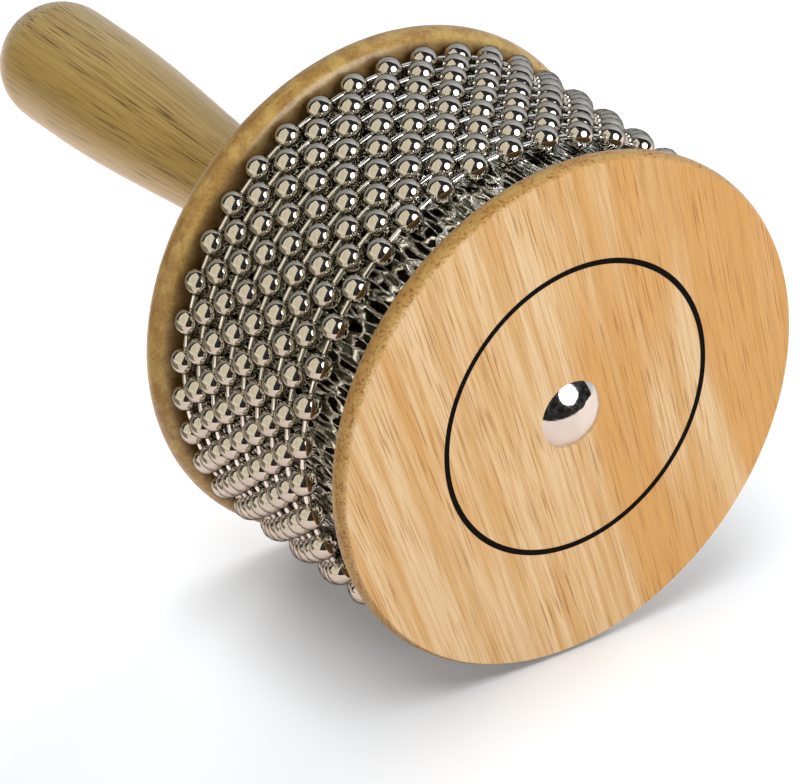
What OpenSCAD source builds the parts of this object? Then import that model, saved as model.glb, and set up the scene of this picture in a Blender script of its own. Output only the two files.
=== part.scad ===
// Cabasa: a hand percussion instrument. Nine loops of hollow metal balls lie
// round a drum of textured sheet between two wooden discs, and one long bolt
// clamps the discs and the drum's core to a turned wooden handle.
// All lengths are in millimetres. The handle points along +Y, the front disc
// faces -Y, and the instrument lies on the rims of its two discs at z = 0.

/* [Discs] */
// Diameter of each wooden disc over its rounded edge
disc_d = 114.3; // [105:0.1:125]
// Thickness of each wooden disc
disc_t = 6.3; // [5.2:0.1:9]
// Radius of the rounded edge, which leaves a crisp corner at the outer face
edge_r = 3.8; // [3:0.1:4.6]

/* [Bead loops] */
// Outer diameter of one hollow ball
ball_d = 6.1; // [5.6:0.1:6.6]
// Wall of the hollow ball
ball_wall = 0.45; // [0.3:0.05:0.6]
// Least length of bare link between two balls of a loop
link_gap = 2.6; // [2:0.1:3.2]
// Diameter of the link's rod
link_d = 1.2; // [0.9:0.05:1.5]
// Gap between the balls of neighbouring loops, which nest half a pitch apart
row_gap = 0.7; // [0.4:0.05:1.2]
// Free travel of the loops from the rear disc towards the front disc
loop_play = 9.7; // [5:0.1:15]
// Slack of a loop round the drum, measured on the radius
loop_slack = 0.41; // [0.3:0.01:0.8]
// How far the disc rims stand above the balls
rim_cover = 0.64; // [0.4:0.01:1.5]

/* [Drum] */
// Thickness of the textured sheet with its relief
sheet_t = 0.9; // [0.6:0.05:1.4]
// Width of the butt seam where the rolled sheet meets itself
seam_w = 0.5; // [0.3:0.05:1]

/* [Handle] */
// Length of the handle from the rear disc to its rounded end
handle_len = 128.8; // [110:0.1:150]
// Diameter of the handle's fattest stretch
grip_d = 27.5; // [24:0.1:32]
// Length of the straight stretch at full diameter
grip_straight = 11; // [8:0.5:16]
// Length of the rounded end
grip_end = 15.6; // [12:0.1:22]
// Diameter of the handle where it meets the rear disc
neck_d = 19.2; // [17:0.1:22]
// Length of the straight neck
neck_straight = 30; // [22:0.5:36]

/* [Bolt] */
// Shank diameter of the tie bolt
bolt_d = 6.35; // [5:0.05:7]
// Diameter of the domed head
head_d = 15.1; // [13:0.1:18]
// Height of the domed head above the front disc
head_h = 3.2; // [2.4:0.1:4]
// Length of the square neck under the head
square_len = 3.7; // [2.5:0.1:4.5]
// Length of the bolt inside the handle
bolt_reach = 19; // [14:0.5:22]
// Outer diameter of the threaded insert in the handle
insert_d = 11; // [9.5:0.1:12]
// Length of the threaded insert
insert_len = 16; // [12:0.5:18]

/* [Hidden] */

// Clearances, and the overrun of a cut past the face that it opens
side_clear = 0.3;
hole_clear = 0.25;
knob_clear = 0.1;
thread_clear = 0.05;
seat_clear = 0.05;
bore_clear = 0.2;
overrun = 0.5;
// How far a link's knob is wider than the hole that holds it
knob_lip = 0.25;
// Chamfer on the bolt's tip, and depth of the drilled space past it
tip_chamfer = 0.8;
tip_space = 2;
// Loops of balls, and the turn of the first ball from +X towards +Z
loops = 9;
first_ball_turn = 101.35;
// Steps in the outline of the handle's taper and of its rounded end, and how
// full that end is, along the axis and across it
taper_steps = 16;
end_steps = 14;
end_along_power = 2.4;
end_across_power = 1.62;

disc_r = disc_d / 2;
ball_r = ball_d / 2;
ball_inner_r = ball_r - ball_wall;
drum_r = disc_r - rim_cover - ball_d - loop_slack;
core_r = drum_r - sheet_t;
loop_r = drum_r + loop_slack + ball_r;

// The balls of a loop lie on the corners of a regular polygon
balls_in_loop = floor(180 / asin((ball_d + link_gap) / (2 * loop_r)));
ball_turn = 360 / balls_in_loop;
pitch = 2 * loop_r * sin(ball_turn / 2);
nest_run = ball_d + row_gap;
least_row = (ball_d + link_d) / 2 + row_gap;
row_pitch = max(sqrt(max(nest_run * nest_run - pitch * pitch / 4, 0)), least_row);

// A knob lies just inside the hole of its ball
hole_r = link_d / 2 + hole_clear;
knob_r = hole_r + knob_lip;
knob_seat = sqrt(ball_inner_r * ball_inner_r - hole_r * hole_r) - sqrt(knob_r * knob_r - hole_r * hole_r);
knob_place = knob_seat - knob_clear;

// Places along the axis, counted from the front disc's outer face
drum_len = side_clear + ball_d + (loops - 1) * row_pitch + loop_play + side_clear;
rear_face = disc_t + drum_len;
handle_start = rear_face + disc_t;
total_len = head_h + handle_start + handle_len;
front_y = head_h - total_len / 2;
last_row = rear_face - side_clear - ball_r;

grip_r = grip_d / 2;
neck_r = neck_d / 2;
taper_len = handle_len - neck_straight - grip_straight - grip_end;

$fn = 96;

// Puts a child that is built along +Z onto the instrument's axis, where z = 0
// becomes the front disc's outer face and +Z becomes +Y
module on_axis(along = 0) {
  translate([0, front_y + along, disc_r]) rotate([-90, 0, 0]) children();
}

// Half outline of a disc, its outer face at z = 0 and its rounded edge inward
module disc_outline() {
  intersection() {
    square([disc_d, disc_t]);
    union() {
      square([disc_r - edge_r, disc_t]);
      translate([disc_r - edge_r, disc_t - edge_r]) circle(r = edge_r);
    }
  }
}

module disc_body() {
  rotate_extrude() disc_outline();
}

module bolt_bore(len) {
  translate([0, 0, -overrun]) cylinder(r = bolt_d / 2 + bore_clear, h = len + 2 * overrun);
}

module front_disc() {
  square_w = bolt_d + 2 * seat_clear;
  color("burlywood") on_axis() difference() {
    disc_body();
    bolt_bore(disc_t);
    translate([-square_w / 2, -square_w / 2, -overrun]) cube([square_w, square_w, square_len + seat_clear + overrun]);
  }
}

module rear_disc() {
  color("burlywood") on_axis(rear_face) difference() {
    translate([0, 0, disc_t]) mirror([0, 0, 1]) disc_body();
    bolt_bore(disc_t);
  }
}

module core() {
  color("tan") on_axis(disc_t) difference() {
    cylinder(r = core_r - seat_clear, h = drum_len);
    bolt_bore(drum_len);
  }
}

module drum_sheet() {
  color("silver") on_axis(disc_t) difference() {
    cylinder(r = drum_r, h = drum_len);
    translate([0, 0, -overrun]) cylinder(r = core_r, h = drum_len + 2 * overrun);
    translate([-seam_w / 2, 0, -overrun]) cube([seam_w, drum_r + overrun, drum_len + 2 * overrun]);
  }
}

// Smooth rise of the handle's taper and smooth fall of its rounded end, each
// between 0 and 1 over the stretch's own length
function taper_rise(share) = share * share * (3 - 2 * share);
function end_fall(share) = pow(1 - pow(share, end_along_power), 1 / end_across_power);

module handle_outline() {
  taper = [for (i = [0:taper_steps])
    let (share = i / taper_steps)
    [neck_r + (grip_r - neck_r) * taper_rise(share), neck_straight + taper_len * share]];
  end_start = handle_len - grip_end;
  round_end = [for (i = [0:end_steps])
    let (share = sin(90 * i / end_steps))
    [grip_r * end_fall(share), end_start + grip_end * share]];
  polygon(concat([[0, 0], [neck_r, 0]], taper, round_end));
}

module handle() {
  socket_r = insert_d / 2 + seat_clear;
  tip_r = bolt_d / 2 + bore_clear;
  color("peru") on_axis(handle_start) difference() {
    rotate_extrude() handle_outline();
    translate([0, 0, -overrun]) cylinder(r = socket_r, h = insert_len + overrun);
    translate([0, 0, -overrun]) cylinder(r = tip_r, h = bolt_reach + tip_space + overrun);
  }
}

module handle_insert() {
  color("goldenrod") on_axis(handle_start) difference() {
    cylinder(r = insert_d / 2, h = insert_len);
    translate([0, 0, -overrun]) cylinder(r = bolt_d / 2 + thread_clear, h = insert_len + 2 * overrun);
  }
}

module tie_bolt() {
  head_r = head_d / 2;
  dome_r = (head_r * head_r + head_h * head_h) / (2 * head_h);
  shank_len = handle_start + bolt_reach;
  color("gainsboro") on_axis() {
    intersection() {
      translate([0, 0, dome_r - head_h]) sphere(r = dome_r);
      translate([0, 0, -head_h - overrun]) cylinder(r = head_d, h = head_h + overrun);
    }
    translate([-bolt_d / 2, -bolt_d / 2, 0]) cube([bolt_d, bolt_d, square_len]);
    cylinder(d = bolt_d, h = shank_len - tip_chamfer);
    translate([0, 0, shank_len - tip_chamfer])
      cylinder(d1 = bolt_d, d2 = bolt_d - 2 * tip_chamfer, h = tip_chamfer);
  }
}

// Puts a child at ball number i of a loop: +X points away from the axis and
// +Y runs along the loop
module at_ball(loop, i) {
  stagger = (loop - 1) % 2 / 2;
  turn = -first_ball_turn - (i + stagger) * ball_turn;
  on_axis(last_row - (loops - loop) * row_pitch) rotate([0, 0, turn]) translate([loop_r, 0, 0]) children();
}

// One hollow ball with a hole on each side, turned towards its neighbours
module ball() {
  difference() {
    sphere(r = ball_r);
    sphere(r = ball_inner_r);
    for (side = [-1, 1])
      rotate([0, 0, side * ball_turn / 2]) rotate([-90 * side, 0, 0]) cylinder(r = hole_r, h = ball_d);
  }
}

// One link: a rod from a ball to the next, with a knob held inside each ball
module link() {
  rod = pitch - 2 * knob_place;
  rotate([0, 0, ball_turn / 2]) rotate([-90, 0, 0]) translate([0, 0, knob_place]) {
    cylinder(d = link_d, h = rod);
    sphere(r = knob_r);
    translate([0, 0, rod]) sphere(r = knob_r);
  }
}

module loop_balls(loop) {
  color("gainsboro") for (i = [0:balls_in_loop - 1]) at_ball(loop, i) ball();
}

module loop_links(loop) {
  color("silver") for (i = [0:balls_in_loop - 1]) at_ball(loop, i) link();
}

handle();
handle_insert();
rear_disc();
core();
drum_sheet();
front_disc();
tie_bolt();
for (n = [1:loops]) {
  loop_balls(n);
  loop_links(n);
}
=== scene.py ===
# Cabasa, a hand percussion instrument: its looks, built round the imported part.
# Lengths are in metres. The handle points along +Y, the front disc faces -Y, and
# the instrument lies on the rims of its two discs at z = 0.
import math

import bpy
import numpy as np
from mathutils import Matrix, Vector


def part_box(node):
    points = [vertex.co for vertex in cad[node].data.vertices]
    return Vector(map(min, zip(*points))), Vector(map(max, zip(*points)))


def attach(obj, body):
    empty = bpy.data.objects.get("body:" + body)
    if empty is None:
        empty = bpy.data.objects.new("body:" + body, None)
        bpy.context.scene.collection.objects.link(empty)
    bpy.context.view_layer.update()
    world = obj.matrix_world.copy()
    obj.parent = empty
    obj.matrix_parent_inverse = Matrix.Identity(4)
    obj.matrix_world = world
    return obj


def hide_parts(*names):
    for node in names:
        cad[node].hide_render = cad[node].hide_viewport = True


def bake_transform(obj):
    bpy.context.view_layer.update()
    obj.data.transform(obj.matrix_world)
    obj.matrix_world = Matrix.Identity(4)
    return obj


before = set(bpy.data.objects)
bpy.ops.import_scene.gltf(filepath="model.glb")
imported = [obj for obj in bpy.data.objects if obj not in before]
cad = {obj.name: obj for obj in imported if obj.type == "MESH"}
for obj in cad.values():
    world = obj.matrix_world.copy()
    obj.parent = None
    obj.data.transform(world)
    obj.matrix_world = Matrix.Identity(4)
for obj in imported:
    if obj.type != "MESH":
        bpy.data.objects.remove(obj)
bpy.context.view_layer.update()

MM = 0.001


def front_of(node):
    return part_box(node)[0].y


def rear_of(node):
    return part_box(node)[1].y


def radius_of(node):
    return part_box(node)[1].x


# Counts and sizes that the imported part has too, and that its boxes don't show
LOOPS = 9
BALLS_IN_LOOP = 38
FIRST_BALL_TURN = math.radians(101.35)
LINK_RADIUS = 0.6 * MM
LOOP_SLACK = 0.41 * MM
SHEET_THICKNESS = 0.9 * MM
NECK_RADIUS = 9.6 * MM
NECK_LENGTH = 30 * MM
GRIP_LENGTH = 11 * MM
END_LENGTH = 15.6 * MM

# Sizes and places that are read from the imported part, or that follow from those
AXIS_HEIGHT = radius_of("front_disc")
FRONT_FACE = front_of("front_disc")
DRUM_START = rear_of("front_disc")
DRUM_END = front_of("rear_disc")
REAR_FACE = rear_of("rear_disc")
DRUM_RADIUS = radius_of("drum_sheet")
CORE_RADIUS = DRUM_RADIUS - SHEET_THICKNESS
HANDLE_START = front_of("handle")
HANDLE_LENGTH = rear_of("handle") - HANDLE_START
TAPER_LENGTH = HANDLE_LENGTH - NECK_LENGTH - GRIP_LENGTH - END_LENGTH
GRIP_RADIUS = radius_of("handle")
HEAD_TOP = front_of("tie_bolt")
HEAD_HEIGHT = FRONT_FACE - HEAD_TOP
DOME_RADIUS = (radius_of("tie_bolt") ** 2 + HEAD_HEIGHT ** 2) / (2 * HEAD_HEIGHT)
REAR_BALLS = f"loop_{LOOPS}_balls"
BALL_RADIUS = (rear_of(REAR_BALLS) - front_of(REAR_BALLS)) / 2
LOOP_RADIUS = DRUM_RADIUS + LOOP_SLACK + BALL_RADIUS
REAR_LOOP = front_of(REAR_BALLS) + BALL_RADIUS
LOOP_PITCH = (front_of(REAR_BALLS) - front_of("loop_1_balls")) / (LOOPS - 1)

# How the loops lie: they sag, wander along the drum, and the front one bows forwards on one side.
LOOP_SAG = 0.25 * MM
LOOP_WANDER = 0.12 * MM
REAR_LOOP_WANDER = 0.08 * MM
FRONT_LOOP_BOW = 1.0 * MM
BOW_TURN = math.radians(146)

# The printed circle, which lies a little beside the axis, and how far it stands out of the
# wood and reaches into it
PRINT_RADIUS = 32.54 * MM
PRINT_WIDTH = 1.25 * MM
PRINT_ASIDE = (1.08 * MM, 1.29 * MM)
PRINT_RISE = 0.02 * MM
PRINT_SUNK = 0.01 * MM


# Node trees

class Nodes:
    """A node tree that is written as a short list of nodes."""

    def __init__(self, tree):
        self.tree = tree
        self.tree.nodes.clear()

    def node(self, kind, inputs=None, **settings):
        """Adds a node. Each input is a value, or the output that it is linked to."""
        made = self.tree.nodes.new(kind)
        for key, value in settings.items():
            setattr(made, key, value)
        for key, value in (inputs or {}).items():
            if isinstance(value, bpy.types.NodeSocket):
                self.tree.links.new(value, made.inputs[key])
            else:
                made.inputs[key].default_value = value
        return made

    def math(self, operation, first, second=0.0):
        return self.node("ShaderNodeMath", {0: first, 1: second}, operation=operation).outputs[0]

    def vector_math(self, operation, first, second=(0.0, 0.0, 0.0)):
        made = self.node("ShaderNodeVectorMath", {0: first, 1: second}, operation=operation)
        return made.outputs[0]

    def vector(self, x=0.0, y=0.0, z=0.0):
        return self.node("ShaderNodeCombineXYZ", {0: x, 1: y, 2: z}).outputs[0]

    def parts(self, vector):
        return self.node("ShaderNodeSeparateXYZ", {0: vector}).outputs

    def cells(self, vector, feature):
        return self.node("ShaderNodeTexVoronoi", {"Vector": vector, "Scale": 1.0}, feature=feature,
                         voronoi_dimensions="2D").outputs


class Finish(Nodes):
    """A material's tree."""

    def __init__(self, name):
        self.material = bpy.data.materials.new(name)
        self.material.use_nodes = True
        super().__init__(self.material.node_tree)

    def place(self):
        return self.node("ShaderNodeTexCoord").outputs["Object"]

    def stretched(self, vector, scale, shift=(0, 0, 0)):
        made = self.node("ShaderNodeMapping", {"Vector": vector, "Scale": scale, "Location": shift})
        return made.outputs[0]

    def noise(self, vector, detail=2.0, roughness=0.5, distortion=0.0):
        made = self.node("ShaderNodeTexNoise", {"Vector": vector, "Scale": 1.0, "Detail": detail,
                                                "Roughness": roughness, "Distortion": distortion})
        return made.outputs[0]

    def spread(self, value, low, high, to_low=0.0, to_high=1.0):
        """A smooth step from to_low to to_high while value goes from low to high."""
        return self.node("ShaderNodeMapRange", {"Value": value, "From Min": low, "From Max": high,
                                                "To Min": to_low, "To Max": to_high},
                         interpolation_type="SMOOTHSTEP").outputs[0]

    def mix(self, share, first, second, blend="MIX"):
        return self.node("ShaderNodeMix", {0: share, 6: first, 7: second}, data_type="RGBA",
                         blend_type=blend).outputs[2]

    def bump(self, strength, distance, height, **more):
        return self.node("ShaderNodeBump", {"Strength": strength, "Distance": distance, "Height": height,
                                            **more}).outputs[0]

    def surface(self, **inputs):
        named = {key.replace("_", " "): value for key, value in inputs.items()}
        shader = self.node("ShaderNodeBsdfPrincipled", named).outputs[0]
        return self.ends_in(shader)

    def ends_in(self, shader):
        self.node("ShaderNodeOutputMaterial", {0: shader})
        return self.material


class Growth(Nodes):
    """A Geometry Nodes tree, with named inputs for its sizes."""

    def __init__(self, name, **sizes):
        super().__init__(bpy.data.node_groups.new(name, "GeometryNodeTree"))
        self.tree.interface.new_socket("Geometry", in_out="OUTPUT", socket_type="NodeSocketGeometry")
        kinds = {int: "NodeSocketInt", float: "NodeSocketFloat", str: "NodeSocketMaterial"}
        for label, value in sizes.items():
            socket = self.tree.interface.new_socket(label.replace("_", " "), in_out="INPUT",
                                                    socket_type=kinds[type(value)])
            if type(value) is not str:
                socket.default_value = value
        self.sizes = self.tree.nodes.new("NodeGroupInput").outputs

    def moved(self, geometry, **inputs):
        return self.node("GeometryNodeSetPosition", {"Geometry": geometry, **inputs}).outputs[0]

    def smooth(self, geometry):
        return self.node("GeometryNodeSetShadeSmooth", {"Geometry": geometry}).outputs[0]

    def finish(self, geometry):
        real = self.node("GeometryNodeRealizeInstances", {"Geometry": geometry}).outputs[0]
        material = self.sizes["Material"]
        done = self.node("GeometryNodeSetMaterial", {"Geometry": real, "Material": material}).outputs[0]
        self.node("NodeGroupOutput", {0: done})
        return self.tree


# Materials

def tone(red, green, blue):
    """A colour of 0 to 255, as it looks on a screen, as the linear one that a shader takes."""
    linear = []
    for part in (red, green, blue):
        part = part / 255
        linear.append(part / 12.92 if part <= 0.04045 else ((part + 0.055) / 1.055) ** 2.4)
    return (*linear, 1.0)


def straightened(f, place, swell):
    """Places on a turned shape, drawn out as if its greatest radius went all along. swell
    is where along the instrument it starts and ends to swell, and its radii there."""
    start, end, thin, thick = swell
    x, along, z = f.parts(place)
    share = f.math("DIVIDE", thick, f.spread(along, start, end, thin, thick))
    height = f.math("MULTIPLY", f.math("SUBTRACT", z, AXIS_HEIGHT), share)
    return f.vector(f.math("MULTIPLY", x, share), along, height)


def speckled_rim(f, place, body, soft, edge, speckle, painted_inner_shade):
    """A disc's rim with end grain: edge is its tone and where along the instrument it comes in, raggedly.
    The last span is where along the instrument the inner face beside the drum is darkened by painted
    shade."""
    rim_tone, edge_start, edge_full = edge
    along = f.parts(place)[1]
    dots = f.noise(f.stretched(place, (1500, 1500, 1500), (2, 2, 3)), 2.0, 0.6)
    patches = f.noise(f.stretched(place, (210, 320, 210), (6, 1, 3)), 3.0, 0.6)
    rim = f.mix(f.spread(patches, 0.38, 0.64), rim_tone, f.mix(0.75, rim_tone, soft))
    strength = f.spread(patches, 0.35, 0.6, 0.5 * speckle, speckle)
    rim = f.mix(f.math("MULTIPLY", f.spread(dots, 0.47, 0.68), strength), rim, tone(124, 86, 42))
    wavering = f.spread(along, edge_start - 0.1 * MM, edge_start + 0.3 * MM, 0.0, 1.6 * MM)
    ragged = f.math("ADD", along, f.math("MULTIPLY", f.math("SUBTRACT", dots, 0.5), wavering))
    body = f.mix(f.spread(ragged, edge_start, edge_full), body, rim)
    # Painted shade: the inner face beside the drum is multiplied darker, as if in the shadow of the balls
    return f.mix(f.spread(along, painted_inner_shade[0], painted_inner_shade[1]), body, (0.5, 0.47, 0.56, 1), "MULTIPLY")


def wood(name, turn, tones, shift, fan=0.0, golden=(-0.1, 0.1), edge=None, speckle=0.0, painted_inner_shade=None,
         stroke_strength=0.7, coat=(0.3, 0.25), swell=None):
    """Lacquered wood. turn lays the grain along the texture's X, fan spreads it towards one end, tones
    are pale wood, golden wood, soft dashes and open pores, and golden says where across the grain the
    wood turns golden. coat is the lacquer's weight and roughness. edge, speckle and the span where
    painted shade darkens the inner face belong to a speckled rim, and swell to a turned shape, whose
    grain follows it."""
    pale, rich, soft, pore = tones
    f = Finish(name)
    place = f.place()
    source = straightened(f, place, swell) if swell else place
    grain = f.node("ShaderNodeMapping", {"Vector": source, "Rotation": turn}).outputs[0]
    length, depth, across = f.parts(grain)
    if fan:
        across = f.math("MULTIPLY", across, f.math("ADD", f.math("MULTIPLY", length, fan), 1.0))
    grain = f.vector_math("ADD", f.vector(length, depth, across), shift)
    # From broad bands to fine fibre, each stretched along the grain, through it and across it
    broad = f.noise(f.stretched(grain, (6, 50, 65)), 3.0, 0.55, 0.4)
    drift = f.spread(across, golden[0], golden[1], -0.14, 0.14)
    bands = f.noise(f.stretched(grain, (13, 300, 380), (3, 1, 7)), 3.0, 0.6, 0.2)
    lines = f.noise(f.stretched(grain, (8, 1700, 1900), (8, 3, 5)), 2.0, 0.6, 0.1)
    clusters = f.noise(f.stretched(grain, (16, 110, 150), (1, 8, 2)), 2.0, 0.5)
    dashes = f.noise(f.stretched(grain, (75, 2400, 2900), (4, 4, 9)), 1.0, 0.5)
    fibre = f.noise(f.stretched(grain, (200, 4200, 4800), (5, 2, 1)), 2.0, 0.6)
    body = f.mix(f.spread(f.math("ADD", broad, drift), 0.4, 0.6), pale, rich)
    body = f.mix(f.spread(bands, 0.44, 0.66, 0.0, 0.65), body, f.mix(0.3, rich, soft))
    body = f.mix(f.spread(lines, 0.48, 0.66, 0.0, 0.6 * stroke_strength), body, soft)
    here = f.spread(clusters, 0.36, 0.6, 0.2, stroke_strength)
    body = f.mix(f.math("MULTIPLY", f.spread(dashes, 0.52, 0.64, 0.0, 0.8), here), body, soft)
    pores = f.math("MULTIPLY", f.spread(dashes, 0.6, 0.7), here)
    body = f.mix(pores, body, pore)
    body = f.mix(f.spread(fibre, 0.3, 0.7, 0.0, 0.2), body, soft)
    if speckle:
        body = speckled_rim(f, place, body, soft, edge, speckle, painted_inner_shade)
    rough = f.spread(f.math("ADD", fibre, pores), 0.3, 1.4, 0.4, 0.62)
    sunk = f.bump(0.2, 0.1 * MM, f.math("MULTIPLY", pores, -1.0))
    return f.surface(Base_Color=body, Roughness=rough, Normal=sunk, Specular_IOR_Level=0.35,
                     Coat_Weight=coat[0], Coat_Roughness=coat[1])


def polished_metal(name, colour, roughness, wear, wear_scale, waves=0.0, slant=1.0, dome=None):
    """Plated metal: polish that varies a little, with fine rubbing marks. waves is the
    depth of the unevenness that a stamped shape has, and slant how much of its light the
    plating keeps where it is seen from the side. dome is the centre of a domed head, which
    then mirrors as a true sphere does."""
    f = Finish(name)
    place = f.place()
    facing = {}
    if dome:
        out = f.vector_math("NORMALIZE", f.vector_math("SUBTRACT", place, dome))
        out = f.node("ShaderNodeVectorTransform", {0: out}, vector_type="NORMAL", convert_from="OBJECT",
                     convert_to="WORLD").outputs[0]
        facing = {"Normal": out}
    clouds = f.noise(f.stretched(place, (wear_scale,) * 3), 3.0, 0.6)
    rubbed = (wear_scale * 9, wear_scale * 2, wear_scale * 5)
    marks = f.noise(f.stretched(place, rubbed, (3, 5, 8)), 2.0, 0.5)
    dull = tuple(part * 0.8 for part in colour[:3]) + (1.0,)
    body = f.mix(f.spread(clouds, 0.45, 0.75, 0.0, wear), colour, dull)
    worn = f.math("ADD", clouds, f.math("MULTIPLY", marks, 0.5))
    rough = f.spread(worn, 0.5, 1.1, roughness, roughness + 0.12 * wear + 0.02)
    normal = f.bump(0.05, 0.02 * MM, marks, **facing)
    if waves:
        uneven = f.noise(f.stretched(place, (420, 420, 420), (1, 7, 4)), 2.0, 0.5, 0.6)
        normal = f.bump(1.0, waves, uneven, Normal=normal)
    return f.surface(Base_Color=body, Metallic=1.0, Roughness=rough, Normal=normal,
                     Specular_Tint=(slant, slant, slant, 1.0))


def crinkled_steel(name):
    """Textured steel: its pits are darkened by painted shade, a few of them less, and the creases between
    them are painted bright as a highlight. The sheet's shape hands over where its pits lie."""
    f = Finish(name)
    pits = f.node("ShaderNodeAttribute", attribute_name="pits",
                  attribute_type="GEOMETRY").outputs["Vector"]
    edges = f.cells(pits, "DISTANCE_TO_EDGE")[0]
    lots = f.cells(pits, "F1")["Color"]
    fine = f.noise(f.stretched(f.place(), (1300, 500, 1300)), 1.0, 0.5)
    uneven = f.noise(f.stretched(pits, (1.1, 1.1, 1.1)), 2.0, 0.5)
    width = f.spread(uneven, 0.3, 0.7, 0.12, 0.42)
    ragged = f.math("ADD", edges, f.math("MULTIPLY", f.math("SUBTRACT", fine, 0.5), 0.08))
    crease = f.spread(f.math("DIVIDE", ragged, width), 0.4, 0.9, 1.0, 0.0)
    lot = f.node("ShaderNodeSeparateColor", {0: lots}).outputs[0]
    # Painted shade in the pits, a few of them paler, and a painted highlight along the creases
    painted_pit_shade = f.mix(f.spread(lot, 0.72, 1.0), tone(30, 28, 24), tone(150, 152, 138))
    body = f.mix(crease, painted_pit_shade, tone(250, 250, 246))
    rough = f.spread(fine, 0.3, 0.7, 0.1, 0.2)
    relief = f.bump(0.6, 0.2 * MM, f.math("ADD", crease, f.math("MULTIPLY", fine, 0.2)))
    return f.surface(Base_Color=body, Metallic=1.0, Roughness=rough, Normal=relief)


def printing_ink(name):
    """Dull black ink with paler specks."""
    f = Finish(name)
    speckle = f.noise(f.stretched(f.place(), (2200, 2200, 900)), 3.0, 0.6)
    body = f.mix(f.spread(speckle, 0.55, 0.8), tone(10, 8, 8), tone(40, 32, 26))
    rough = f.spread(speckle, 0.3, 0.8, 0.5, 0.7)
    return f.surface(Base_Color=body, Roughness=rough, Specular_IOR_Level=0.05)


def plain_brass(name):
    """Brass with the fine rings that turning leaves."""
    f = Finish(name)
    turning = f.noise(f.stretched(f.place(), (300, 4000, 300)), 2.0, 0.5)
    body = f.mix(turning, tone(196, 160, 90), tone(150, 116, 60))
    return f.surface(Base_Color=body, Metallic=1.0, Roughness=f.spread(turning, 0.3, 0.7, 0.25, 0.4))


# Shapes

def add_piece(name, mesh):
    piece = bpy.data.objects.new(name, mesh)
    bpy.context.scene.collection.objects.link(piece)
    return piece


def mesh_piece(name, verts, faces, material):
    mesh = bpy.data.meshes.new(name)
    mesh.from_pydata(verts, [], faces)
    mesh.update()
    mesh.materials.append(material)
    return add_piece(name, mesh)


def turned(name, outline, segments, material):
    """A closed shape turned about the instrument's axis from (radius, along) points."""
    verts, faces, rows = [], [], []
    for radius, along in outline:
        if radius < 1e-7:
            rows.append([len(verts)])
            verts.append((0, along, AXIS_HEIGHT))
            continue
        rows.append(range(len(verts), len(verts) + segments))
        for i in range(segments):
            turn = 2 * math.pi * i / segments
            verts.append((radius * math.cos(turn), along, AXIS_HEIGHT + radius * math.sin(turn)))
    for near, far in zip(rows, rows[1:]):
        for i in range(segments):
            j = (i + 1) % segments
            corners = [near[i % len(near)], near[j % len(near)], far[j % len(far)], far[i % len(far)]]
            faces.append([c for k, c in enumerate(corners) if c not in corners[:k]])
    piece = mesh_piece(name, verts, faces, material)
    piece.data.shade_smooth()
    return piece


def handle_outline():
    """(radius, along) points of the turned handle, from its neck to its rounded end."""
    chamfer, taper_steps, end_steps = 0.3 * MM, 30, 32
    points = [(0.0, 0.0), (NECK_RADIUS - chamfer, 0.0), (NECK_RADIUS, chamfer)]
    points += [(NECK_RADIUS, NECK_LENGTH * share) for share in (0.4, 0.7, 1.0)]
    for share in np.linspace(0, 1, taper_steps + 1)[1:]:
        rise = share * share * (3 - 2 * share)
        radius = NECK_RADIUS + (GRIP_RADIUS - NECK_RADIUS) * rise
        points.append((radius, NECK_LENGTH + TAPER_LENGTH * share))
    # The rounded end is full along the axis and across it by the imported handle's powers
    along_power, across_power = 2.4, 1.62
    end_start = HANDLE_LENGTH - END_LENGTH
    for turn in np.linspace(0, math.pi / 2, end_steps + 1):
        share = math.sin(turn)
        fall = max(1 - share ** along_power, 0.0) ** (1 / across_power)
        points.append((GRIP_RADIUS * fall, end_start + END_LENGTH * share))
    return [(radius, HANDLE_START + along) for radius, along in points]


def printed_circle(name, material):
    """A thin printed line on the front disc's face, its back just inside the wood."""
    steps = 288
    inner, outer = PRINT_RADIUS - PRINT_WIDTH / 2, PRINT_RADIUS + PRINT_WIDTH / 2
    back, front = FRONT_FACE + PRINT_SUNK, FRONT_FACE - PRINT_RISE
    x, height = PRINT_ASIDE[0], AXIS_HEIGHT + PRINT_ASIDE[1]
    verts, faces = [], []
    for i in range(steps):
        turn = 2 * math.pi * i / steps
        for radius, along in ((inner, back), (inner, front), (outer, front), (outer, back)):
            verts.append((x + radius * math.cos(turn), along, height + radius * math.sin(turn)))
    for i in range(steps):
        here, beyond = 4 * i, 4 * ((i + 1) % steps)
        for k in range(4):
            n = (k + 1) % 4
            faces.append((here + k, beyond + k, beyond + n, here + n))
    return mesh_piece(name, verts, faces, material)


def grow(name, tree, **values):
    """Runs a tree with its named inputs and keeps the result as a plain mesh."""
    piece = add_piece(name, bpy.data.meshes.new(name))
    modifier = piece.modifiers.new(tree.name, "NODES")
    modifier.node_group = tree
    for item in tree.interface.items_tree:
        label = item.name.replace(" ", "_")
        if item.item_type == "SOCKET" and item.in_out == "INPUT" and label in values:
            modifier[item.identifier] = values[label]
    bpy.context.view_layer.update()
    graph = bpy.context.evaluated_depsgraph_get()
    grown = bpy.data.meshes.new_from_object(piece.evaluated_get(graph))
    piece.modifiers.remove(modifier)
    piece.data = grown
    return piece


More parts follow.
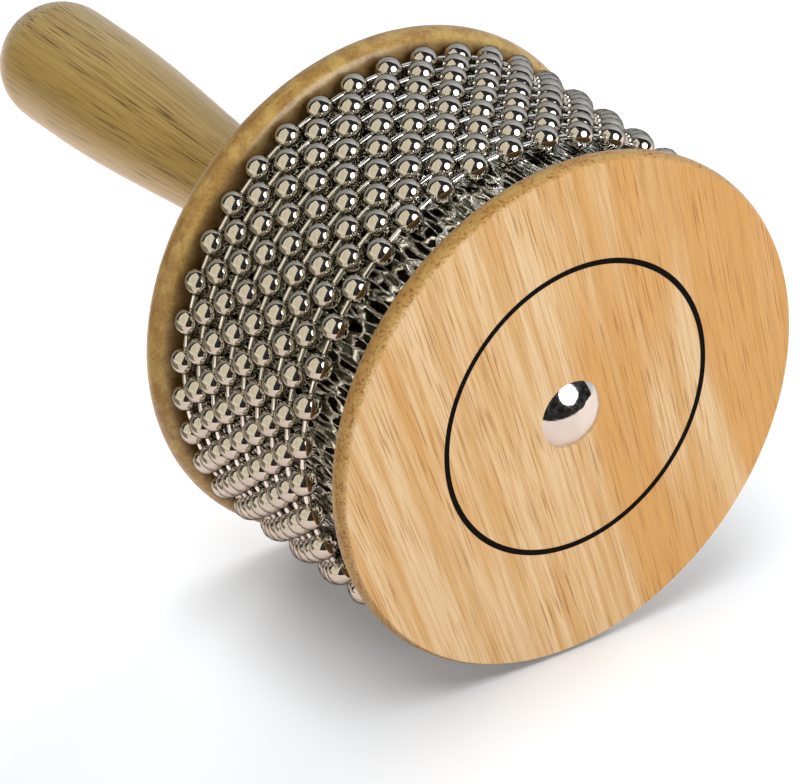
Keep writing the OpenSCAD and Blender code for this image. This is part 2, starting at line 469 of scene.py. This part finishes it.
def loop_path(g):
    """The corners of one loop, where its balls lie, and their turns: a ring that sags a
    little, wanders along the drum and bows towards the front disc on one side."""
    # The wander is noise on a circle of this radius, a step further on for each seed, and
    # its gain brings its swing to about 1. A higher bow power makes the bow shorter.
    circle, seed_step, gain, bow_power = 2.1, 7.3, 4.0, 10.0
    sizes = g.sizes
    index = g.node("GeometryNodeInputIndex").outputs[0]
    step = g.math("DIVIDE", 2 * math.pi, sizes["Balls"])
    turn = g.math("ADD", g.math("MULTIPLY", index, step), sizes["First turn"])
    cos, sin = g.math("COSINE", turn), g.math("SINE", turn)
    spot = g.vector(g.math("MULTIPLY", cos, circle), g.math("MULTIPLY", sin, circle),
                    g.math("MULTIPLY", sizes["Seed"], seed_step))
    wave = g.node("ShaderNodeTexNoise", {"Vector": spot, "Scale": 1.0, "Detail": 2.0,
                                         "Roughness": 0.7}).outputs[0]
    wave = g.math("MULTIPLY", g.math("SUBTRACT", wave, 0.5), g.math("MULTIPLY", sizes["Wander"], gain))
    facing = g.math("MAXIMUM", g.math("COSINE", g.math("SUBTRACT", turn, sizes["Bow turn"])), 0.0)
    bow = g.math("MULTIPLY", g.math("POWER", facing, bow_power), sizes["Bow"])
    along = g.math("SUBTRACT", g.math("ADD", sizes["Along"], wave), bow)
    height = g.math("ADD", g.math("MULTIPLY", sin, sizes["Loop radius"]), AXIS_HEIGHT)
    height = g.math("SUBTRACT", height, sizes["Sag"])
    ring = g.node("GeometryNodeMeshCircle", {"Vertices": sizes["Balls"]}).outputs[0]
    ring = g.moved(ring, Position=g.vector(g.math("MULTIPLY", cos, sizes["Loop radius"]), along, height))
    return ring, turn


LOOP_SIZES = dict(Balls=BALLS_IN_LOOP, Loop_radius=LOOP_RADIUS, Along=0.0, First_turn=0.0, Sag=0.0,
                  Wander=0.0, Bow=0.0, Bow_turn=0.0, Seed=0)


def ball_loop_tree():
    """Balls on a loop's corners, each with a dimple at either end for its link."""
    g = Growth("Ball loop", **LOOP_SIZES, Ball_radius=BALL_RADIUS, Dimple=0.3 * MM, Material="")
    ring, turn = loop_path(g)
    radius = g.sizes["Ball radius"]
    ball = g.node("GeometryNodeMeshUVSphere", {"Segments": 16, "Rings": 9, "Radius": radius}).outputs[0]
    height = g.parts(g.node("GeometryNodeInputPosition").outputs[0])[2]
    # Only the two poles lie past this share of the radius
    pole_share = 0.97
    pole = g.math("GREATER_THAN", g.math("ABSOLUTE", height), g.math("MULTIPLY", radius, pole_share))
    inwards = g.math("MULTIPLY", g.sizes["Dimple"], -1.0)
    push = g.vector(0.0, 0.0, g.math("MULTIPLY", g.math("SIGN", height), inwards))
    ball = g.smooth(g.moved(ball, Selection=pole, Offset=push))
    along_link = g.vector(0.0, g.math("MULTIPLY", turn, -1.0), 0.0)
    balls = g.node("GeometryNodeInstanceOnPoints", {"Points": ring, "Instance": ball,
                                                    "Rotation": along_link}).outputs[0]
    return g.finish(balls)


def link_loop_tree():
    """Rods from each ball of a loop to the next, ending inside the balls."""
    g = Growth("Link loop", **LOOP_SIZES, Link_radius=LINK_RADIUS, Material="")
    ring = loop_path(g)[0]
    path = g.node("GeometryNodeMeshToCurve", {"Mesh": ring}).outputs[0]
    radius = g.sizes["Link radius"]
    rod = g.node("GeometryNodeCurvePrimitiveCircle", {"Resolution": 10, "Radius": radius}).outputs[0]
    rods = g.node("GeometryNodeCurveToMesh", {"Curve": path, "Profile Curve": rod}).outputs[0]
    return g.finish(g.smooth(rods))


def crinkled_sheet_tree():
    """The drum's sheet: a grid wrapped round the core, pressed into long pits with narrow
    creases between them, which run along the drum. Its borders and its seam underneath
    turn in to the core. It hands the places of its pits to its material."""
    g = Growth("Crinkled sheet", Around=1300, Rows=76, Radius=DRUM_RADIUS, Inner_radius=CORE_RADIUS,
               Start=DRUM_START, Length=DRUM_END - DRUM_START, Bare_length=11 * MM, Bare_share=0.53,
               Relief=0.6 * MM, Pits_around=540.0, Pits_along=160.0, Crease=0.3, Tilt=1.6, Bend=1.2,
               Seed=4, Material="")
    sizes = g.sizes
    grid = g.node("GeometryNodeMeshGrid", {"Size X": 1.0, "Size Y": 1.0, "Vertices X": sizes["Around"],
                                           "Vertices Y": sizes["Rows"]}).outputs[0]
    flat = g.parts(g.node("GeometryNodeInputPosition").outputs[0])
    turn = g.math("SUBTRACT", math.pi / 2, g.math("MULTIPLY", flat[0], 2 * math.pi))
    cos, sin = g.math("COSINE", turn), g.math("SINE", turn)
    # Rows lie closer together at the front, where the loops leave the sheet bare
    share = g.math("ADD", flat[1], 0.5)
    near = g.math("MULTIPLY", share, g.math("DIVIDE", sizes["Bare length"], sizes["Bare share"]))
    covered = g.math("DIVIDE", g.math("SUBTRACT", sizes["Length"], sizes["Bare length"]),
                     g.math("SUBTRACT", 1.0, sizes["Bare share"]))
    far = g.math("SUBTRACT", sizes["Length"], g.math("MULTIPLY", g.math("SUBTRACT", 1.0, share), covered))
    along = g.math("ADD", g.math("MAXIMUM", near, far), sizes["Start"])
    radius = sizes["Radius"]
    unrolled = g.math("MULTIPLY", g.math("MULTIPLY", radius, turn), sizes["Pits around"])
    spot = g.vector(unrolled, g.math("MULTIPLY", along, sizes["Pits along"]), sizes["Seed"])
    bend = g.node("ShaderNodeTexNoise", {"Vector": spot, "Scale": 0.8, "Detail": 1.0}).outputs[1]
    bend = g.vector_math("SUBTRACT", bend, (0.5, 0.5, 0.5))
    bend = g.node("ShaderNodeVectorMath", {0: bend, "Scale": sizes["Bend"]}, operation="SCALE").outputs[0]
    spot = g.vector_math("ADD", spot, bend)
    edges = g.cells(spot, "DISTANCE_TO_EDGE")[0]
    cell = g.cells(spot, "F1")
    # Each pit's floor tips its own way
    away = g.vector_math("MULTIPLY", g.vector_math("SUBTRACT", spot, cell["Position"]), (1.0, 1.0, 0.0))
    lean = g.vector_math("SUBTRACT", cell["Color"], (0.5, 0.5, 0.5))
    tip = g.node("ShaderNodeVectorMath", {0: away, 1: lean}, operation="DOT_PRODUCT").outputs[1]
    tip = g.math("MULTIPLY", tip, sizes["Tilt"])
    pit = g.math("MINIMUM", g.math("DIVIDE", edges, sizes["Crease"]), 1.0)
    wrinkles = g.node("ShaderNodeTexNoise", {"Vector": spot, "Scale": 1.8, "Detail": 0.0}).outputs[0]
    # Depths as shares of the relief
    pit_depth, wrinkle_depth, deepest = 0.7, 0.3, 1.5
    depth = g.math("ADD", g.math("MULTIPLY", pit, g.math("ADD", pit_depth, tip)),
                   g.math("MULTIPLY", g.math("SUBTRACT", wrinkles, 0.4), wrinkle_depth))
    depth = g.math("MAXIMUM", g.math("MINIMUM", depth, deepest), 0.0)
    depth = g.math("MULTIPLY", depth, sizes["Relief"])
    # The grid is 1 wide and long, and its outermost corners turn in
    border = g.math("MAXIMUM", g.math("ABSOLUTE", flat[0]), g.math("ABSOLUTE", flat[1]))
    border = g.math("GREATER_THAN", border, 0.4999)
    shell = g.math("SUBTRACT", radius, depth)
    inwards = g.math("MULTIPLY", border, g.math("SUBTRACT", sizes["Inner radius"], shell))
    shell = g.math("ADD", shell, inwards)
    height = g.math("ADD", g.math("MULTIPLY", sin, shell), AXIS_HEIGHT)
    place = g.vector(g.math("MULTIPLY", cos, shell), along, height)
    sheet = g.node("GeometryNodeStoreNamedAttribute", {"Geometry": grid, "Name": "pits", "Value": spot},
                   data_type="FLOAT_VECTOR", domain="POINT").outputs[0]
    return g.finish(g.smooth(g.moved(sheet, Position=place)))


# The instrument

front_wood = wood("Front disc wood", (0, math.radians(-72), 0),
                  (tone(240, 210, 164), tone(224, 170, 98), tone(202, 144, 76), tone(164, 110, 58)),
                  (0.3, 0.1, 0.1), fan=1.6, golden=(-0.03, 0.06), stroke_strength=0.62, speckle=0.8,
                  edge=(tone(208, 168, 98), FRONT_FACE + 0.1 * MM, FRONT_FACE + 0.9 * MM),
                  painted_inner_shade=(FRONT_FACE + 5.2 * MM, FRONT_FACE + 6.2 * MM))
rear_wood = wood("Rear disc wood", (0, math.radians(-58), 0),
                 (tone(214, 180, 112), tone(198, 156, 80), tone(166, 120, 56), tone(108, 74, 36)),
                 (0.7, 0.2, 0.4), speckle=0.45, coat=(0.6, 0.2),
                 edge=(tone(204, 170, 96), REAR_FACE - 1.0 * MM, REAR_FACE - 1.8 * MM),
                 painted_inner_shade=(REAR_FACE - 5.3 * MM, REAR_FACE - 6.2 * MM))
handle_wood = wood("Handle wood", (0, 0, math.radians(-90)),
                   (tone(220, 190, 116), tone(204, 172, 92), tone(160, 124, 60), tone(84, 60, 24)),
                   (0.5, 0.1, 0.9), stroke_strength=0.75, coat=(1.0, 0.3),
                   swell=(HANDLE_START + NECK_LENGTH, HANDLE_START + NECK_LENGTH + TAPER_LENGTH,
                          NECK_RADIUS, GRIP_RADIUS))
core_wood = wood("Core wood", (0, 0, math.radians(-90)),
                 (tone(190, 150, 104), tone(172, 130, 84), tone(150, 108, 66), tone(96, 66, 38)),
                 (0.1, 0.6, 0.2))
ball_plate = polished_metal("Ball plating", tone(218, 213, 204), roughness=0.03, wear=0.3,
                            wear_scale=160, slant=0.1)
link_plate = polished_metal("Link plating", tone(252, 251, 247), roughness=0.05, wear=0.3,
                            wear_scale=300)
bolt_plate = polished_metal("Bolt plating", tone(226, 224, 220), roughness=0.06, wear=0.5,
                            wear_scale=220, waves=0.05 * MM,
                            dome=(0.0, HEAD_TOP + DOME_RADIUS, AXIS_HEIGHT))
drum_steel = crinkled_steel("Crinkled steel")
ink = printing_ink("Printing ink")
brass = plain_brass("Insert brass")

for node, material in (("front_disc", front_wood), ("rear_disc", rear_wood), ("core", core_wood),
                       ("tie_bolt", bolt_plate), ("handle_insert", brass), ("drum_sheet", drum_steel)):
    cad[node].data.materials.clear()
    cad[node].data.materials.append(material)

handle = turned("handle_turned", handle_outline(), segments=96, material=handle_wood)
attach(handle, "instrument")
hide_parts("handle")

sheet = grow("drum_crinkled_sheet", crinkled_sheet_tree(), Material=drum_steel)
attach(sheet, "instrument")
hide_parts("drum_sheet")

circle = printed_circle("front_printed_circle", ink)
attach(circle, "instrument")


def lag_at_bow(piece):
    """Bakes the placement of a piece of the front loop into its mesh, and leaves it without a parent."""
    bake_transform(piece)


ball_tree, link_tree = ball_loop_tree(), link_loop_tree()
for loop in range(1, LOOPS + 1):
    place = dict(Along=REAR_LOOP - (LOOPS - loop) * LOOP_PITCH,
                 First_turn=FIRST_BALL_TURN + (loop - 1) % 2 * math.pi / BALLS_IN_LOOP,
                 Sag=LOOP_SAG, Wander=LOOP_WANDER if loop < LOOPS else REAR_LOOP_WANDER,
                 Bow=FRONT_LOOP_BOW if loop == 1 else 0.0, Bow_turn=BOW_TURN, Seed=loop)
    balls = grow(f"loop_{loop}_polished_balls", ball_tree, Material=ball_plate, **place)
    links = grow(f"loop_{loop}_link_rods", link_tree, Material=link_plate, **place)
    for piece, node, slot in ((balls, f"loop_{loop}_balls", "ball_metal"),
                              (links, f"loop_{loop}_links", "link_metal")):
        if loop == 1:
            lag_at_bow(piece)
        else:
            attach(piece, f"loop_{loop}")
        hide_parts(node)


# Studio

STUDIO_MIDDLE = Vector((-0.03, -0.06, 0.08))
DARK_FLOOR = (0.02, 0.018, 0.017, 1)
OLIVE_PAINTED_SHADOW = (0.2, 0.18, 0.13, 1)
PINKISH_FLOOR = (0.8, 0.68, 0.63, 1)
PICTURE_FLOOR = (0.84, 0.86, 0.885, 1)
PLAIN_FLOOR = (0.52, 0.5, 0.48, 1)


def direction(azimuth, height):
    """The way to a point at an azimuth, from +X towards +Y, and a height over the
    horizon, both in degrees."""
    turn, rise = math.radians(azimuth), math.radians(height)
    return Vector((math.cos(rise) * math.cos(turn), math.cos(rise) * math.sin(turn), math.sin(rise)))


def photo_camera():
    """The camera that was fitted to the photograph. The middle of the front disc's face lies
    right of its line of sight by aside, and above it by raised, which is below 0."""
    azimuth, elevation = -0.629030419, 0.536594607
    distance, aside, raised = 1600 * MM, 34.8323 * MM, -4.56073 * MM
    sensor_width, focal_pixels, picture_pixels = 36, 7892.0, 800
    back = Vector((math.sin(azimuth) * math.cos(elevation), -math.cos(azimuth) * math.cos(elevation),
                   math.sin(elevation)))
    right = Vector((math.cos(azimuth), math.sin(azimuth), 0))
    up = back.cross(right)
    data = bpy.data.cameras.new("Photo camera")
    data.sensor_width = sensor_width
    data.sensor_fit = "HORIZONTAL"
    data.lens = focal_pixels * sensor_width / picture_pixels
    data.clip_end = 50
    camera = bpy.data.objects.new("Photo camera", data)
    turn = Matrix((right, up, back)).transposed().to_4x4()
    place = Vector((0, FRONT_FACE, AXIS_HEIGHT)) - aside * right - raised * up + distance * back
    camera.matrix_world = Matrix.Translation(place) @ turn
    bpy.context.scene.collection.objects.link(camera)
    bpy.context.scene.camera = camera


def white_floor():
    """A pale floor that turns white in the picture and keeps the instrument's shadow. It throws little
    light back up. The metal sees it pinkish white up to an edge in front, and on the far left it sees a
    painted olive shadow, which stands in for the shadow of the front lamp, as that lamp doesn't light the
    floor."""
    half, lift = 6.0, 0.21
    edge_start, edge_end, edge_way = 0.26, 0.28, direction(235, 0)
    painted_shadow_along, painted_shadow_aside = (-0.055, -0.035), (-0.09, -0.105)
    f = Finish("White floor")
    path = f.node("ShaderNodeLightPath").outputs
    mirrored = f.math("MAXIMUM", path["Is Glossy Ray"], path["Is Transmission Ray"])
    seen = f.math("MAXIMUM", path["Is Camera Ray"], mirrored)
    x, y = f.parts(f.place())[:2]
    # Painted shadow, seen only in the metal: an olive patch on the far left
    painted_shadow_far_left = f.math("MULTIPLY", f.spread(y, *painted_shadow_along), f.spread(x, *painted_shadow_aside))
    outward = f.math("ADD", f.math("MULTIPLY", x, edge_way.x), f.math("MULTIPLY", y, edge_way.y))
    in_metal = f.mix(painted_shadow_far_left, PINKISH_FLOOR, OLIVE_PAINTED_SHADOW)
    in_metal = f.mix(f.spread(outward, edge_start, edge_end), in_metal, DARK_FLOOR)
    colour = f.mix(seen, PLAIN_FLOOR, f.mix(mirrored, PICTURE_FLOOR, in_metal))
    paint = f.node("ShaderNodeBsdfDiffuse", {"Color": colour}).outputs[0]
    lifted = f.math("MULTIPLY", seen, lift)
    glow = f.node("ShaderNodeEmission", {"Color": colour, "Strength": lifted}).outputs[0]
    material = f.ends_in(f.node("ShaderNodeAddShader", {0: paint, 1: glow}).outputs[0])
    corners = [(-half, -half, 0), (half, -half, 0), (half, half, 0), (-half, half, 0)]
    floor = mesh_piece("floor", corners, [(0, 1, 2, 3)], material)
    return floor


def studio_world():
    """White where the camera or the metal looks past the cards, and dim for plain light."""
    world = bpy.data.worlds.new("Studio")
    bpy.context.scene.world = world
    world.use_nodes = True
    w = Nodes(world.node_tree)
    path = w.node("ShaderNodeLightPath").outputs
    seen = w.math("MAXIMUM", path["Is Camera Ray"], path["Is Glossy Ray"])
    seen = w.math("MAXIMUM", seen, path["Is Transmission Ray"])
    plain = w.node("ShaderNodeBackground", {"Color": (1.0, 0.99, 0.97, 1), "Strength": 0.14}).outputs[0]
    white = w.node("ShaderNodeBackground", {"Color": (1, 1, 1, 1), "Strength": 1.0}).outputs[0]
    both = w.node("ShaderNodeMixShader", {0: seen, 1: plain, 2: white}).outputs[0]
    w.node("ShaderNodeOutputWorld", {0: both})


def link_light(light, role, pieces, state):
    """Lets a light reach (receiver) or be stopped by (blocker) only the given pieces, or
    all others: state is INCLUDE or EXCLUDE."""
    group = bpy.data.collections.new(f"{light.name} {role}")
    setattr(light.light_linking, role + "_collection", group)
    for piece in pieces:
        group.objects.link(piece)
    for member in group.collection_objects:
        member.light_linking.link_state = state


def add_lamp(name, kind, towards, power):
    """A lamp that shines from a direction."""
    data = bpy.data.lights.new(name, kind)
    data.energy = power
    made = bpy.data.objects.new(name, data)
    made.rotation_euler = towards.to_track_quat("Z", "Y").to_euler()
    bpy.context.scene.collection.objects.link(made)
    return made


def round_lamp(name, towards, distance, size, power):
    """A soft round lamp, aimed at the studio's middle."""
    made = add_lamp(name, "AREA", towards, power)
    made.data.shape = "DISK"
    made.data.size = size
    made.location = STUDIO_MIDDLE + towards * distance
    return made


def floor_lamp(floor, no_shadow, towards, spread, strength):
    """A soft far lamp for the floor alone, which lays the instrument's shadow but not the
    handle's. spread is its width in degrees."""
    made = add_lamp("Floor lamp", "SUN", towards, strength)
    made.data.angle = math.radians(spread)
    made.visible_glossy = False
    link_light(made, "receiver", [floor], "INCLUDE")
    link_light(made, "blocker", [no_shadow], "EXCLUDE")


def card_glow(name, body, edge, uneven, far=None):
    """Light from a card: body colour in its middle, edge colour at its border, and far
    colour towards the side between its first two corners. uneven is how far its strength
    wavers from 1."""
    border, far_start, far_end = 0.16, 0.05, 0.75
    f = Finish(name)
    spot = f.node("ShaderNodeUVMap", uv_map="card").outputs[0]
    up, across = f.parts(spot)[:2]
    above = f.math("MINIMUM", up, f.math("SUBTRACT", 1.0, up))
    beside = f.math("MINIMUM", across, f.math("SUBTRACT", 1.0, across))
    clouds = f.noise(f.stretched(spot, (3, 3, 3)), 2.0, 0.5)
    level = f.spread(clouds, 0.3, 0.7, 1.0 - uneven, 1.0 + uneven)
    colour = f.mix(f.spread(f.math("MINIMUM", above, beside), 0.0, border), edge, body)
    if far:
        colour = f.mix(f.spread(across, far_start, far_end), far, colour)
    return f.ends_in(f.node("ShaderNodeEmission", {"Color": colour, "Strength": level}).outputs[0])


def mapped(card, uvs):
    """Gives each corner of a card its place on it, from 0 to 1 up and across."""
    layer = card.data.uv_layers.new(name="card")
    for corner in card.data.loops:
        layer.data[corner.index].uv = uvs[corner.vertex_index]


def hide_from(card, *rays):
    for ray in rays:
        setattr(card, "visible_" + ray, False)


def studio_card(name, corners, distance, material):
    """A card out of the picture, which the metal mirrors and which throws a little light.
    Its four corners, up one side and down the other, are azimuths and heights in degrees."""
    points = [STUDIO_MIDDLE + direction(*corner) * distance for corner in corners]
    steps = 8
    verts, faces, uvs = [], [], []
    for i in range(steps + 1):
        for j in range(steps + 1):
            up, across = i / steps, j / steps
            side, other_side = points[0].lerp(points[1], up), points[3].lerp(points[2], up)
            verts.append(side.lerp(other_side, across))
            uvs.append((up, across))
    for i in range(steps):
        for j in range(steps):
            k = i * (steps + 1) + j
            faces.append((k, k + 1, k + steps + 2, k + steps + 1))
    card = mesh_piece(name, verts, faces, material)
    mapped(card, uvs)
    hide_from(card, "camera", "shadow", "transmission")
    return card


def flat_card(name, corners, height, material):
    """A card that lies over the floor, seen as a reflection only."""
    verts = [(x, y, height) for x, y in corners]
    card = mesh_piece(name, verts, [range(len(corners))], material)
    mapped(card, [(0.5, 0.5)] * len(corners))
    hide_from(card, "camera", "diffuse", "shadow", "transmission")
    return card


def dark_studio(radius):
    """The dark room that the metal mirrors round the cards, a dome open to plain light."""
    steps, rows = 32, 12
    verts, faces = [(0, 0, radius)], []
    for j in range(rows):
        for i in range(steps):
            verts.append(direction(360 * i / steps, 90 * j / rows) * radius)
    for j in range(rows):
        for i in range(steps):
            a, b = 1 + j * steps + i, 1 + j * steps + (i + 1) % steps
            faces.append((a, b, 0) if j == rows - 1 else (a, b, b + steps, a + steps))
    f = Finish("Dark studio")
    clouds = f.noise(f.stretched(f.place(), (1.2, 1.2, 1.2)), 2.0, 0.5)
    colour = f.mix(f.spread(clouds, 0.42, 0.62), (0.012, 0.01, 0.01, 1), (0.06, 0.06, 0.062, 1))
    material = f.ends_in(f.node("ShaderNodeEmission", {"Color": colour}).outputs[0])
    dome = mesh_piece("dark_studio", verts, faces, material)
    hide_from(dome, "camera", "diffuse", "shadow", "transmission")


photo_camera()
floor = white_floor()
studio_world()
front_lamp = round_lamp("Front lamp", direction(-74.83, 30.93), distance=1.5, size=1.2, power=16.9)
floor_lamp(floor, handle, direction(195, 75), spread=50, strength=2.7)
floor_lamp(floor, handle, direction(75, 30), spread=30, strength=1.4)
floor_lamp(floor, handle, direction(15, 18), spread=30, strength=2.3)
dark_studio(radius=4.0)
warm = card_glow("Warm card", body=(0.82, 0.74, 0.57, 1), edge=(1.05, 0.99, 0.88, 1), uneven=0.08)
warm_card = studio_card("warm_card", [(148, -5), (110, 68), (-118, 64), (-150, -5)], distance=0.8,
                        material=warm)
warm_table = flat_card("warm_table", [(-0.12, -0.075), (-0.46, -0.36), (-2.4, -0.9), (-1.6, 1.6),
                                      (-0.43, 0.4), (-0.3, -0.02)], height=0.001, material=warm)
pale = card_glow("Pale backdrop", body=(0.64, 0.65, 0.69, 1), edge=(0.76, 0.77, 0.8, 1), uneven=0.12,
                 far=(0.2, 0.19, 0.15, 1))
backdrop = studio_card("pale_backdrop", [(127, -3), (96, 66), (-8, 64), (-20, -3)], distance=1.2,
                       material=pale)
# The floor has lamps of its own
for light in (front_lamp, warm_card, warm_table, backdrop):
    link_light(light, "receiver", [floor], "EXCLUDE")
bpy.context.scene.view_settings.view_transform = "Standard"
